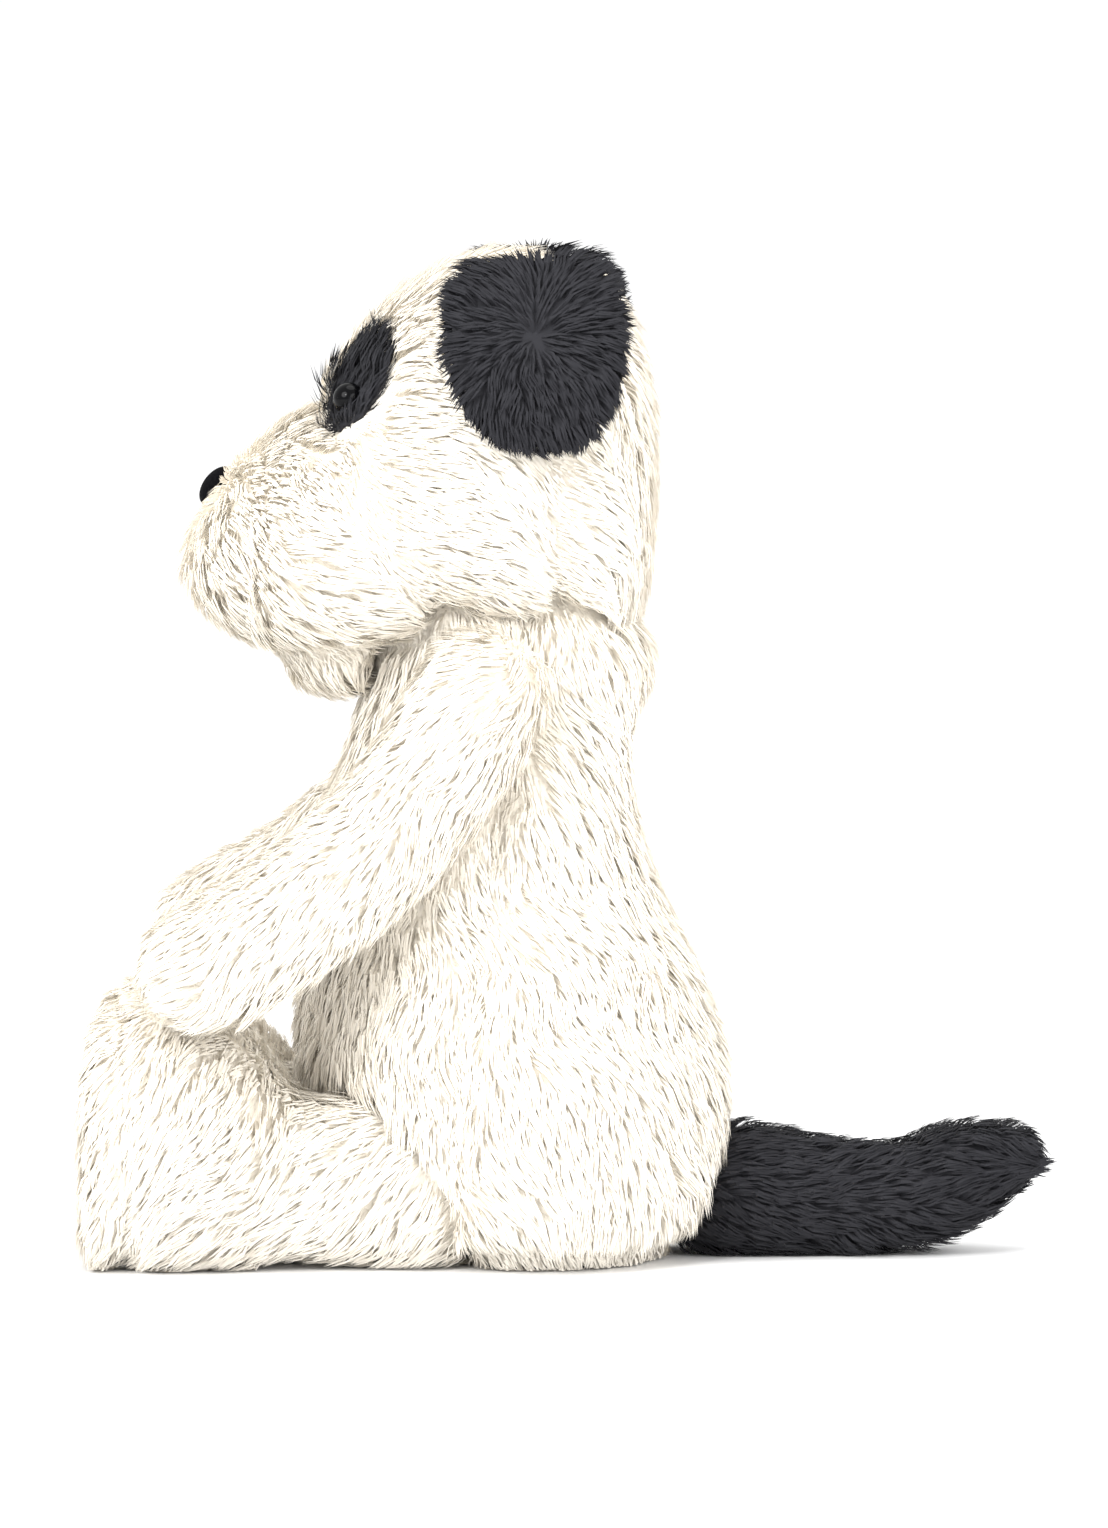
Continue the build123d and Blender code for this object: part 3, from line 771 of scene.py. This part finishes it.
class PlushOperator(bpy.types.Operator):
    """Makes the stuffed pieces whose names end as listed in pieces"""

    bl_options = {"REGISTER", "UNDO"}
    bl_idname = "plush.base"
    bl_label = "Base"
    pieces = ()
    fill = 0.75

    def shape(self, name):
        return None

    def execute(self, context):
        for name, body, panels, filling, slot in plush_pieces():
            if not name.endswith(self.pieces):
                continue
            obj = cloth_piece(name, panels, filling, self.shape(name))
            obj.data.materials.append(material_for(slot))
            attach(obj, body)
            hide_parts(*panels, filling)
        return {"FINISHED"}


class PLUSH_OT_torso(PlushOperator):
    """Makes the pear-shaped torso"""

    bl_idname = "plush.torso"
    bl_label = "Torso"
    pieces = ("torso_plush",)

    def shape(self, name):
        return nape


class PLUSH_OT_head(PlushOperator):
    """Makes the head with its round muzzle"""

    bl_idname = "plush.head"
    bl_label = "Head"
    pieces = ("head_plush",)

    def shape(self, name):
        return muzzle_lobes


class PLUSH_OT_arms(PlushOperator):
    """Makes both arms"""

    bl_idname = "plush.arms"
    bl_label = "Arms"
    pieces = ("arm_plush",)


class PLUSH_OT_legs(PlushOperator):
    """Makes both legs with their feet"""

    bl_idname = "plush.legs"
    bl_label = "Legs"
    pieces = ("leg_plush",)


class PLUSH_OT_ears(PlushOperator):
    """Makes both floppy ears"""

    bl_idname = "plush.ears"
    bl_label = "Ears"
    pieces = ("ear_plush",)
    fill = 0.4


class PLUSH_OT_tail(PlushOperator):
    """Makes the tail"""

    bl_idname = "plush.tail"
    bl_label = "Tail"
    pieces = ("tail_plush",)


def nape(points, facing):
    """How far the cloth at the back of the neck stands out, so that head and back run on."""
    neck = box_of("torso_front_panel")[1][2] - NAPE_BELOW_TOP
    at_neck = np.exp(-(((points[:, 2] - neck) / (12 * MM)) ** 2))
    behind = np.clip((points[:, 1] - 6 * MM) / (12 * MM), 0, 1)
    return NAPE_SWELL * at_neck * behind * np.clip(facing[:, 1] * 3 + 0.2, 0, 1)


def muzzle_lobes(points, facing):
    """How far the cheeks and the front of the muzzle stand out, less the creases."""
    low, high = box_of("muzzle_left_panel")
    depth, height = high[1] - low[1], high[2] - low[2]
    push = np.zeros(len(points))
    for sign in (1, -1):
        for share, swell, radius in (
            ((0.74, 0.52, 0.42), CHEEK_SWELL, CHEEK_RADIUS),
            ((0.24, 0.02, 0.36), LOBE_SWELL, LOBE_RADIUS),
        ):
            middle = np.array(
                (
                    sign * high[0] * share[0],
                    low[1] + depth * share[1],
                    low[2] + height * share[2],
                )
            )
            push += swell * np.exp(-(((points - middle) / radius) ** 2).sum(axis=1))
        crease = low[1] + depth * 0.17 + (points[:, 2] - low[2]) * 0.10
        at_crease = np.exp(-(((points[:, 1] - crease) / CREASE_WIDTH) ** 2))
        above = points[:, 2] - low[2] - height * 0.35
        in_height = np.exp(-((above / (15 * MM)) ** 2))
        beside = np.clip(sign * points[:, 0] / (8 * MM), 0, 1)
        push -= CREASE_DEPTH * at_crease * in_height * beside
    front = np.exp(-(((points[:, 1] - low[1]) / (14 * MM)) ** 2))
    below = points[:, 2] < centre_of("nose_cover")[2]
    between = np.exp(-((points[:, 0] / LIP_WIDTH) ** 2))
    push -= LIP_DEPTH * front * between * below
    return push + nape(points, facing)


class PLUSH_OT_eye_patch(bpy.types.Operator):
    """Lays the black patch over the cloth around the left eye"""

    bl_idname = "plush.eye_patch"
    bl_label = "Eye patch"

    def execute(self, context):
        head = bpy.data.objects["head_plush"]
        patch = bpy.data.objects.new("eye_patch_plush", head.data.copy())
        context.scene.collection.objects.link(patch)
        inside = patch_share(coordinates(patch.data)) > 0.5
        pick(patch)
        bpy.ops.object.mode_set(mode="EDIT")
        bpy.ops.mesh.select_all(action="DESELECT")
        bpy.ops.object.mode_set(mode="OBJECT")
        for polygon in patch.data.polygons:
            polygon.select = not all(inside[i] for i in polygon.vertices)
        bpy.ops.object.mode_set(mode="EDIT")
        bpy.ops.mesh.delete(type="FACE")
        bpy.ops.object.mode_set(mode="OBJECT")
        if len(patch.data.polygons) < 20:
            raise RuntimeError("the eye patch has no cloth under it")
        apply_modifier(
            patch, "SOLIDIFY", thickness=PATCH_THICKNESS, offset=1.0, use_even_offset=True
        )
        patch.data.materials.clear()
        patch.data.materials.append(material_for("black_fur"))
        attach(patch, "head")
        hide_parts("eye_patch")
        return {"FINISHED"}


def patch_share(points):
    """1 where the black eye patch is nearer than the cream cloth beside it, and else 0."""
    patch, cream = tree_of("eye_patch"), tree_of("head_left_panel", "muzzle_left_panel")
    on_patch = distance_to(patch, points, PATCH_REACH)
    beside = distance_to(cream, points, PATCH_REACH)
    return ((on_patch < PATCH_REACH) & (on_patch <= beside)).astype(float)


class PLUSH_OT_eyes(bpy.types.Operator):
    """Gives the domed eyes their polish, and their washers a moulded finish"""

    bl_idname = "plush.eyes"
    bl_label = "Eyes"

    def execute(self, context):
        polish = eye_material()
        moulded = grained_material(
            "washer_plastic", (0.86, 0.86, 0.84), (0.78, 0.78, 0.76), 300, 0.5, 0.1
        )
        for side in SIDES:
            finish(side + "_eye", polish)
            finish(side + "_eye_washer", moulded)
        return {"FINISHED"}


def finish(node, material):
    """Gives a CAD node a material."""
    mesh = NODES[node].data
    mesh.materials.clear()
    mesh.materials.append(material)


class PLUSH_OT_nose(bpy.types.Operator):
    """Gives the padded nose its suedette"""

    bl_idname = "plush.nose"
    bl_label = "Nose"

    def execute(self, context):
        suedette = grained_material(
            "nose_suedette", (0.006, 0.006, 0.007), (0.002, 0.002, 0.003), 1500, 0.75, 0.5,
            specular=0.02,
        )
        finish("nose_cover", suedette)
        return {"FINISHED"}


class PLUSH_OT_inner(bpy.types.Operator):
    """Gives the bean bag, its pellets and the padding their finishes"""

    bl_idname = "plush.inner"
    bl_label = "Inner pieces"

    def execute(self, context):
        finish("bean_pouch", woven_material("pouch_cloth", (0.86, 0.85, 0.81), 320))
        moulded = grained_material(
            "pellet_plastic", (0.9, 0.9, 0.88), (0.82, 0.82, 0.8), 500, 0.4, 0.1
        )
        finish("bean_pellets", moulded)
        fibre = grained_material(
            "stuffing", (0.95, 0.95, 0.94), (0.85, 0.85, 0.84), 250, 0.95, 0.8, sheen=0.3
        )
        finish("nose_padding", fibre)
        return {"FINISHED"}


class PLUSH_OT_pile(bpy.types.Operator):
    """Grows the pile on every plush piece, combed and drawn into locks"""

    bl_idname = "plush.pile"
    bl_label = "Pile"

    def execute(self, context):
        names = [piece[0] for piece in plush_pieces()]
        keeps, others = {}, {}
        for name, _, panels, _, _ in plush_pieces():
            keeps[name] = keep_for(name, panels)
            others[name] = tree_of(*(other for other in names if other != name))
        keeps["eye_patch_plush"] = keep_patch
        others["eye_patch_plush"] = others["head_plush"]
        for seed, name in enumerate([*names, "eye_patch_plush"], start=100):
            length = sizes().pile * (BLACK_SHARE if name in BLACK_PIECES else 1.0)
            cloth = bpy.data.objects[name]
            grow_pile(cloth, COMBS[name], seed, length, keeps[name], others[name])
        return {"FINISHED"}


def eye_fronts():
    """The middle of each eye's dome."""
    fronts = []
    for side in SIDES:
        mesh = NODES[side + "_eye"].data
        points = coordinates(mesh)
        fronts.append(points[np.argsort(points[:, 1])[: len(points) // 3]].mean(axis=0))
    return fronts


def around_trim(points):
    """How long the pile is near the eyes and nose, as a share of its length."""
    share = np.ones(len(points))
    for front in eye_fronts():
        far = np.linalg.norm(points - front, axis=1)
        grown = np.clip(0.35 + (far - BARE_AT_EYE) / (9 * MM), 0, 1)
        share *= np.where(far < BARE_AT_EYE, 0, grown)
    low, high = box_of("nose_cover")
    middle, half = (low + high) / 2, (high - low) / 2
    far = np.linalg.norm((points - middle) / np.maximum(half, 4 * MM), axis=1)
    return share * np.where(far < 0.95, 0, np.clip(0.55 + (far - 0.95) * 0.6, 0, 1))


def keep_patch(points, facing):
    """How much of its length the pile keeps on the eye patch."""
    return around_trim(points)


def keep_for(name, panels):
    """How much of its length the pile keeps at each point of a piece."""

    def keep(points, facing):
        share = 1 - SEAM_SHARE * seam_pull(points, panels)
        share[(points[:, 2] < 1.5 * MM) & (facing[:, 2] < -0.6)] = 0
        if name == "head_plush":
            share *= around_trim(points) * (1 - patch_share(points))
        return share

    return keep


def soft_world():
    """Even light from all round, in front of a plain white backdrop."""
    world = bpy.data.worlds.new("soft_white")
    world.use_nodes = True
    nodes, links = world.node_tree.nodes, world.node_tree.links
    even = nodes["Background"]
    even.inputs["Color"].default_value = (1, 1, 1, 1)
    even.inputs["Strength"].default_value = WORLD_STRENGTH
    backdrop = nodes.new("ShaderNodeBackground")
    backdrop.inputs["Color"].default_value = (1, 1, 1, 1)
    backdrop.inputs["Strength"].default_value = 1.0
    ray = nodes.new("ShaderNodeLightPath")
    mix = nodes.new("ShaderNodeMixShader")
    links.new(ray.outputs["Is Camera Ray"], mix.inputs["Fac"])
    links.new(even.outputs["Background"], mix.inputs[1])
    links.new(backdrop.outputs["Background"], mix.inputs[2])
    links.new(mix.outputs["Shader"], nodes["World Output"].inputs["Surface"])
    return world


def floor_material():
    """White paper with a painted glow that is stronger far from the toy, so that it is a little
    brighter there.
    """
    material, nodes, links, shader = new_material("floor_paper_painted_glow")
    shader.inputs["Base Color"].default_value = (0.9, 0.9, 0.9, 1)
    shader.inputs["Roughness"].default_value = 0.9
    # Painted light: the paper glows, not at all near the toy and more out to 1.5 m away.
    shader.inputs["Emission Color"].default_value = (1, 1, 1, 1)
    where = nodes.new("ShaderNodeTexCoord")
    far = nodes.new("ShaderNodeVectorMath")
    far.operation = "LENGTH"
    links.new(where.outputs["Object"], far.inputs[0])
    painted_glow = nodes.new("ShaderNodeMapRange")
    painted_glow.inputs["From Min"].default_value = 0.15
    painted_glow.inputs["From Max"].default_value = 1.5
    painted_glow.inputs["To Min"].default_value = 0.0
    painted_glow.inputs["To Max"].default_value = 0.20
    links.new(far.outputs["Value"], painted_glow.inputs["Value"])
    links.new(painted_glow.outputs["Result"], shader.inputs["Emission Strength"])
    return material


def add_lamp(scene, name, place_at, size, power):
    """A soft round lamp that points at the toy."""
    light = bpy.data.lights.new(name, "AREA")
    light.shape = "DISK"
    light.size = size
    light.energy = power
    lamp = bpy.data.objects.new(name, light)
    lamp.location = place_at
    lamp.rotation_euler = (LOOK_AT - Vector(place_at)).to_track_quat("-Z", "Y").to_euler()
    scene.collection.objects.link(lamp)


def add_camera(scene):
    """A camera with a long lens, at the toy's left side and a little above it."""
    data = bpy.data.cameras.new("camera")
    data.sensor_width = SENSOR_WIDTH
    data.lens = data.sensor_width * CAMERA_DISTANCE / HEIGHT_SEEN
    data.clip_end = 50
    camera = bpy.data.objects.new("camera", data)
    back = Vector((math.cos(CAMERA_RISE), 0, math.sin(CAMERA_RISE)))
    camera.location = LOOK_AT + back * CAMERA_DISTANCE
    camera.rotation_euler = (-back).to_track_quat("-Z", "Y").to_euler()
    scene.collection.objects.link(camera)
    scene.camera = camera


class PLUSH_OT_studio(bpy.types.Operator):
    """Makes the floor, the soft lights and the camera"""

    bl_idname = "plush.studio"
    bl_label = "Studio"

    def execute(self, context):
        scene = context.scene
        deselect_all()
        bpy.ops.mesh.primitive_plane_add(size=FLOOR_SIZE, location=(0, 0, -FLOOR_DROP))
        floor = context.object
        floor.name = "floor"
        floor.data.materials.append(floor_material())
        scene.world = soft_world()
        for lamp in LAMPS:
            add_lamp(scene, *lamp)
        scene.view_settings.view_transform = "Standard"
        add_camera(scene)
        return {"FINISHED"}


class PLUSH_PT_panel(bpy.types.Panel):
    """Lists the steps that build the toy"""

    bl_idname = "PLUSH_PT_panel"
    bl_label = "Plush puppy"
    bl_space_type = "VIEW_3D"
    bl_region_type = "UI"
    bl_category = "Plush"

    def draw(self, context):
        layout = self.layout
        for operator in STEPS:
            layout.operator(operator.bl_idname)
        for group in (context.scene.plush_sizes, context.scene.plush_colours):
            for name in group.__annotations__:
                layout.prop(group, name)


STEPS = (
    PLUSH_OT_torso,
    PLUSH_OT_head,
    PLUSH_OT_arms,
    PLUSH_OT_legs,
    PLUSH_OT_ears,
    PLUSH_OT_tail,
    PLUSH_OT_eye_patch,
    PLUSH_OT_eyes,
    PLUSH_OT_nose,
    PLUSH_OT_inner,
    PLUSH_OT_pile,
    PLUSH_OT_studio,
)
CLASSES = (PlushSizes, PlushColours, *STEPS, PLUSH_PT_panel)


def register():
    for cls in CLASSES:
        bpy.utils.register_class(cls)
    bpy.types.Scene.plush_sizes = bpy.props.PointerProperty(type=PlushSizes)
    bpy.types.Scene.plush_colours = bpy.props.PointerProperty(type=PlushColours)


def unregister():
    del bpy.types.Scene.plush_colours
    del bpy.types.Scene.plush_sizes
    for cls in reversed(CLASSES):
        bpy.utils.unregister_class(cls)


def main():
    register()
    bpy.ops.plush.torso()
    bpy.ops.plush.head()
    bpy.ops.plush.arms()
    bpy.ops.plush.legs()
    bpy.ops.plush.ears()
    bpy.ops.plush.tail()
    bpy.ops.plush.eye_patch()
    bpy.ops.plush.eyes()
    bpy.ops.plush.nose()
    bpy.ops.plush.inner()
    bpy.ops.plush.pile()
    bpy.ops.plush.studio()


if __name__ == "__main__":
    main()
